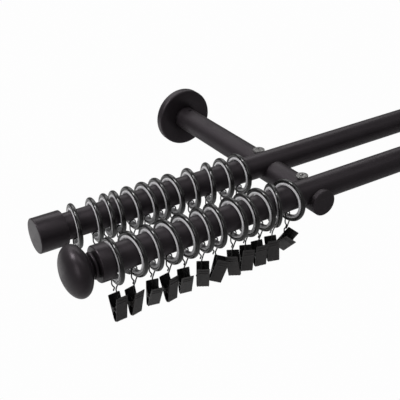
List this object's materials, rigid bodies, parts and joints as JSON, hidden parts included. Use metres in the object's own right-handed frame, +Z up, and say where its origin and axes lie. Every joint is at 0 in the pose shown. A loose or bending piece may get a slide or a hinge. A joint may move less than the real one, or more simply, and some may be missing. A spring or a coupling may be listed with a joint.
{
  "type": "double curtain rod with brackets",
  "caption": "Double curtain rod: two round rods on wall bracket arms, with knob finials, end caps and sliding clip rings.",
  "frame": {"origin": "centre of the left bracket's wall plate, on the wall plane", "axes": "+X along the rods from the left bracket to the right one, +Y into the wall, +Z up"},
  "size_m": [1.6246, 0.3013, 0.101],
  "materials": {
    "black_coating": "satin",
    "ring_black": "semi-gloss",
    "clip_black": "semi-gloss",
    "screw_steel": "dull",
    "zinc_steel": "satin"
  },
  "bodies": {
    "rod_and_brackets": {"front_rod": "black_coating", "back_rod": "black_coating", "left_bracket_arm": "black_coating", "right_bracket_arm": "black_coating", "left_wall_flange": "black_coating", "right_wall_flange": "black_coating", "wall_plates": "zinc_steel", "rod_clamp_screws": "screw_steel", "grub_screws": "screw_steel", "left_knob_finial": "black_coating", "right_knob_finial": "black_coating", "end_caps": "black_coating"},
    "front_ring_01": {"front_ring_01": "ring_black"},
    "front_clip_01": {"front_clip_01": "clip_black"},
    "front_jaw_01": {"front_jaw_01": "clip_black"},
    "front_ring_02": {"front_ring_02": "ring_black"},
    "front_clip_02": {"front_clip_02": "clip_black"},
    "front_jaw_02": {"front_jaw_02": "clip_black"},
    "front_ring_03": {"front_ring_03": "ring_black"},
    "front_clip_03": {"front_clip_03": "clip_black"},
    "front_jaw_03": {"front_jaw_03": "clip_black"},
    "front_ring_04": {"front_ring_04": "ring_black"},
    "front_clip_04": {"front_clip_04": "clip_black"},
    "front_jaw_04": {"front_jaw_04": "clip_black"},
    "front_ring_05": {"front_ring_05": "ring_black"},
    "front_clip_05": {"front_clip_05": "clip_black"},
    "front_jaw_05": {"front_jaw_05": "clip_black"},
    "front_ring_06": {"front_ring_06": "ring_black"},
    "front_clip_06": {"front_clip_06": "clip_black"},
    "front_jaw_06": {"front_jaw_06": "clip_black"},
    "front_ring_07": {"front_ring_07": "ring_black"},
    "front_clip_07": {"front_clip_07": "clip_black"},
    "front_jaw_07": {"front_jaw_07": "clip_black"},
    "front_ring_08": {"front_ring_08": "ring_black"},
    "front_clip_08": {"front_clip_08": "clip_black"},
    "front_jaw_08": {"front_jaw_08": "clip_black"},
    "front_ring_09": {"front_ring_09": "ring_black"},
    "front_clip_09": {"front_clip_09": "clip_black"},
    "front_jaw_09": {"front_jaw_09": "clip_black"},
    "front_ring_10": {"front_ring_10": "ring_black"},
    "front_clip_10": {"front_clip_10": "clip_black"},
    "front_jaw_10": {"front_jaw_10": "clip_black"},
    "front_ring_11": {"front_ring_11": "ring_black"},
    "front_clip_11": {"front_clip_11": "clip_black"},
    "front_jaw_11": {"front_jaw_11": "clip_black"},
    "front_ring_12": {"front_ring_12": "ring_black"},
    "front_clip_12": {"front_clip_12": "clip_black"},
    "front_jaw_12": {"front_jaw_12": "clip_black"},
    "back_ring_01": {"back_ring_01": "ring_black"},
    "back_ring_02": {"back_ring_02": "ring_black"},
    "back_ring_03": {"back_ring_03": "ring_black"},
    "back_ring_04": {"back_ring_04": "ring_black"},
    "back_ring_05": {"back_ring_05": "ring_black"},
    "back_ring_06": {"back_ring_06": "ring_black"},
    "back_ring_07": {"back_ring_07": "ring_black"},
    "back_ring_08": {"back_ring_08": "ring_black"},
    "back_ring_09": {"back_ring_09": "ring_black"},
    "back_ring_10": {"back_ring_10": "ring_black"},
    "back_ring_11": {"back_ring_11": "ring_black"},
    "back_ring_12": {"back_ring_12": "ring_black"}
  },
  "joints": [
    {"name": "front_ring_01_slide", "type": "slide", "parent": "rod_and_brackets", "child": "front_ring_01", "axis": [1, 0, 0], "range_m": [-0.0005, 0.0025]},
    {"name": "front_clip_01_swing", "type": "hinge", "parent": "front_ring_01", "child": "front_clip_01", "pos_m": [-0.24, -0.275, 0.0053], "axis": [0.9986, -0.0523, 0], "range_deg": [-20, 20]},
    {"name": "front_jaw_01_open", "type": "hinge", "parent": "front_clip_01", "child": "front_jaw_01", "pos_m": [-0.2378, -0.27511, -0.0492], "axis": [-0.9912, -0.1217, 0.0523], "range_deg": [0, 20], "stiffness_Nm_per_rad": 0.01, "springref_deg": -28.65},
    {"name": "front_ring_02_slide", "type": "slide", "parent": "rod_and_brackets", "child": "front_ring_02", "axis": [1, 0, 0], "range_m": [-0.0025, 0.006]},
    {"name": "front_clip_02_swing", "type": "hinge", "parent": "front_ring_02", "child": "front_clip_02", "pos_m": [-0.219, -0.275, 0.0053], "axis": [0.9903, 0.1392, 0], "range_deg": [-20, 20]},
    {"name": "front_jaw_02_open", "type": "hinge", "parent": "front_clip_02", "child": "front_jaw_02", "pos_m": [-0.22019, -0.27517, -0.0492], "axis": [-0.9589, -0.275, 0.0698], "range_deg": [0, 25], "stiffness_Nm_per_rad": 0.01, "springref_deg": -28.65},
    {"name": "front_ring_03_slide", "type": "slide", "parent": "rod_and_brackets", "child": "front_ring_03", "axis": [1, 0, 0], "range_m": [-0.006, 0.003]},
    {"name": "front_clip_03_swing", "type": "hinge", "parent": "front_ring_03", "child": "front_clip_03", "pos_m": [-0.199, -0.275, 0.0053], "axis": [1, 0, 0], "range_deg": [-20, 20]},
    {"name": "front_jaw_03_open", "type": "hinge", "parent": "front_clip_03", "child": "front_jaw_03", "pos_m": [-0.199, -0.275, -0.0492], "axis": [-0.9901, 0.1216, 0.0698], "range_deg": [0, 25], "stiffness_Nm_per_rad": 0.01, "springref_deg": -28.65},
    {"name": "front_ring_04_slide", "type": "slide", "parent": "rod_and_brackets", "child": "front_ring_04", "axis": [1, 0, 0], "range_m": [-0.003, 0.0025]},
    {"name": "front_clip_04_swing", "type": "hinge", "parent": "front_ring_04", "child": "front_clip_04", "pos_m": [-0.18, -0.275, 0.0053], "axis": [0.9945, 0.1045, 0], "range_deg": [-20, 20]},
    {"name": "front_jaw_04_open", "type": "hinge", "parent": "front_clip_04", "child": "front_jaw_04", "pos_m": [-0.18, -0.275, -0.0492], "axis": [-0.9636, -0.2582, 0.0698], "range_deg": [0, 20], "stiffness_Nm_per_rad": 0.01, "springref_deg": -28.65},
    {"name": "front_ring_05_slide", "type": "slide", "parent": "rod_and_brackets", "child": "front_ring_05", "axis": [1, 0, 0], "range_m": [-0.0025, 0.006]},
    {"name": "front_clip_05_swing", "type": "hinge", "parent": "front_ring_05", "child": "front_clip_05", "pos_m": [-0.161, -0.275, 0.0053], "axis": [0.9962, 0.0872, 0], "range_deg": [-20, 20]},
    {"name": "front_jaw_05_open", "type": "hinge", "parent": "front_clip_05", "child": "front_jaw_05", "pos_m": [-0.1624, -0.27512, -0.0492], "axis": [-0.978, 0.2079, -0.0175], "range_deg": [0, 25], "stiffness_Nm_per_rad": 0.01, "springref_deg": -28.65},
    {"name": "front_ring_06_slide", "type": "slide", "parent": "rod_and_brackets", "child": "front_ring_06", "axis": [1, 0, 0], "range_m": [-0.006, 0.0005]},
    {"name": "front_clip_06_swing", "type": "hinge", "parent": "front_ring_06", "child": "front_clip_06", "pos_m": [-0.1415, -0.275, 0.0053], "axis": [0.9994, -0.0349, 0], "range_deg": [-20, 20]},
    {"name": "front_jaw_06_open", "type": "hinge", "parent": "front_clip_06", "child": "front_jaw_06", "pos_m": [-0.1411, -0.27501, -0.0492], "axis": [-0.8741, 0.4845, 0.0349], "range_deg": [0, 25], "stiffness_Nm_per_rad": 0.01, "springref_deg": -28.65},
    {"name": "front_ring_07_slide", "type": "slide", "parent": "rod_and_brackets", "child": "front_ring_07", "axis": [1, 0, 0], "range_m": [-0.0005, 0.0005]},
    {"name": "front_clip_07_swing", "type": "hinge", "parent": "front_ring_07", "child": "front_clip_07", "pos_m": [-0.126, -0.275, 0.0053], "axis": [0.9986, -0.0523, 0], "range_deg": [0, 8]},
    {"name": "front_jaw_07_open", "type": "hinge", "parent": "front_clip_07", "child": "front_jaw_07", "pos_m": [-0.12201, -0.27521, -0.0492], "axis": [-0.8585, 0.3822, 0.342], "range_deg": [0, 20], "stiffness_Nm_per_rad": 0.01, "springref_deg": -28.65},
    {"name": "front_ring_08_slide", "type": "slide", "parent": "rod_and_brackets", "child": "front_ring_08", "axis": [1, 0, 0], "range_m": [-0.0005, 0.0005]},
    {"name": "front_clip_08_swing", "type": "hinge", "parent": "front_ring_08", "child": "front_clip_08", "pos_m": [-0.103, -0.275, 0.0053], "axis": [0.9986, 0.0523, 0], "range_deg": [-20, 0]},
    {"name": "front_jaw_08_open", "type": "hinge", "parent": "front_clip_08", "child": "front_jaw_08", "pos_m": [-0.1034, -0.27502, -0.0492], "axis": [-0.7618, 0.6393, -0.1045], "range_deg": [0, 25], "stiffness_Nm_per_rad": 0.01, "springref_deg": -28.65},
    {"name": "front_ring_09_slide", "type": "slide", "parent": "rod_and_brackets", "child": "front_ring_09", "axis": [1, 0, 0], "range_m": [-0.0005, 0.001]},
    {"name": "front_clip_09_swing", "type": "hinge", "parent": "front_ring_09", "child": "front_clip_09", "pos_m": [-0.088, -0.275, 0.0053], "axis": [1, 0, 0], "range_deg": [-8, 20]},
    {"name": "front_jaw_09_open", "type": "hinge", "parent": "front_clip_09", "child": "front_jaw_09", "pos_m": [-0.086, -0.275, -0.0492], "axis": [-0.9374, 0.3412, 0.0698], "range_deg": [0, 20], "stiffness_Nm_per_rad": 0.01, "springref_deg": -28.65},
    {"name": "front_ring_10_slide", "type": "slide", "parent": "rod_and_brackets", "child": "front_ring_10", "axis": [1, 0, 0], "range_m": [-0.001, 0.0015]},
    {"name": "front_clip_10_swing", "type": "hinge", "parent": "front_ring_10", "child": "front_clip_10", "pos_m": [-0.069, -0.275, 0.0053], "axis": [0.9976, 0.0698, 0], "range_deg": [-8, 4]},
    {"name": "front_jaw_10_open", "type": "hinge", "parent": "front_clip_10", "child": "front_jaw_10", "pos_m": [-0.0692, -0.27501, -0.0492], "axis": [-0.978, 0.2079, -0.0175], "range_deg": [0, 25], "stiffness_Nm_per_rad": 0.01, "springref_deg": -28.65},
    {"name": "front_ring_11_slide", "type": "slide", "parent": "rod_and_brackets", "child": "front_ring_11", "axis": [1, 0, 0], "range_m": [-0.0015, 0]},
    {"name": "front_clip_11_swing", "type": "hinge", "parent": "front_ring_11", "child": "front_clip_11", "pos_m": [-0.053, -0.275, 0.0053], "axis": [0.9659, -0.2588, 0], "range_deg": [-20, 4]},
    {"name": "front_jaw_11_open", "type": "hinge", "parent": "front_clip_11", "child": "front_jaw_11", "pos_m": [-0.05223, -0.27521, -0.0492], "axis": [-0.9323, 0.3579, -0.0523], "range_deg": [0, 20], "stiffness_Nm_per_rad": 0.01, "springref_deg": -28.65},
    {"name": "front_ring_12_slide", "type": "slide", "parent": "rod_and_brackets", "child": "front_ring_12", "axis": [1, 0, 0], "range_m": [0, 0.009]},
    {"name": "front_clip_12_swing", "type": "hinge", "parent": "front_ring_12", "child": "front_clip_12", "pos_m": [-0.033, -0.275, 0.0053], "axis": [0.9848, 0.1736, 0], "range_deg": [-20, 8]},
    {"name": "front_jaw_12_open", "type": "hinge", "parent": "front_clip_12", "child": "front_jaw_12", "pos_m": [-0.03448, -0.27526, -0.0447], "axis": [-0.6351, 0.5329, 0.5592], "range_deg": [0, 15], "stiffness_Nm_per_rad": 0.01, "springref_deg": -28.65},
    {"name": "back_ring_01_slide", "type": "slide", "parent": "rod_and_brackets", "child": "back_ring_01", "axis": [1, 0, 0], "range_m": [-0.006, 0.007]},
    {"name": "back_ring_02_slide", "type": "slide", "parent": "rod_and_brackets", "child": "back_ring_02", "axis": [1, 0, 0], "range_m": [-0.007, 0.0005]},
    {"name": "back_ring_03_slide", "type": "slide", "parent": "rod_and_brackets", "child": "back_ring_03", "axis": [1, 0, 0], "range_m": [-0.0005, 0.0035]},
    {"name": "back_ring_04_slide", "type": "slide", "parent": "rod_and_brackets", "child": "back_ring_04", "axis": [1, 0, 0], "range_m": [-0.0035, 0.0045]},
    {"name": "back_ring_05_slide", "type": "slide", "parent": "rod_and_brackets", "child": "back_ring_05", "axis": [1, 0, 0], "range_m": [-0.0045, 0.003]},
    {"name": "back_ring_06_slide", "type": "slide", "parent": "rod_and_brackets", "child": "back_ring_06", "axis": [1, 0, 0], "range_m": [-0.003, 0.0005]},
    {"name": "back_ring_07_slide", "type": "slide", "parent": "rod_and_brackets", "child": "back_ring_07", "axis": [1, 0, 0], "range_m": [-0.0005, 0.0005]},
    {"name": "back_ring_08_slide", "type": "slide", "parent": "rod_and_brackets", "child": "back_ring_08", "axis": [1, 0, 0], "range_m": [-0.0005, 0.0075]},
    {"name": "back_ring_09_slide", "type": "slide", "parent": "rod_and_brackets", "child": "back_ring_09", "axis": [1, 0, 0], "range_m": [-0.0075, 0.008]},
    {"name": "back_ring_10_slide", "type": "slide", "parent": "rod_and_brackets", "child": "back_ring_10", "axis": [1, 0, 0], "range_m": [-0.008, 0.0045]},
    {"name": "back_ring_11_slide", "type": "slide", "parent": "rod_and_brackets", "child": "back_ring_11", "axis": [1, 0, 0], "range_m": [-0.0045, 0.005]},
    {"name": "back_ring_12_slide", "type": "slide", "parent": "rod_and_brackets", "child": "back_ring_12", "axis": [1, 0, 0], "range_m": [-0.005, 0.009]}
  ]
}
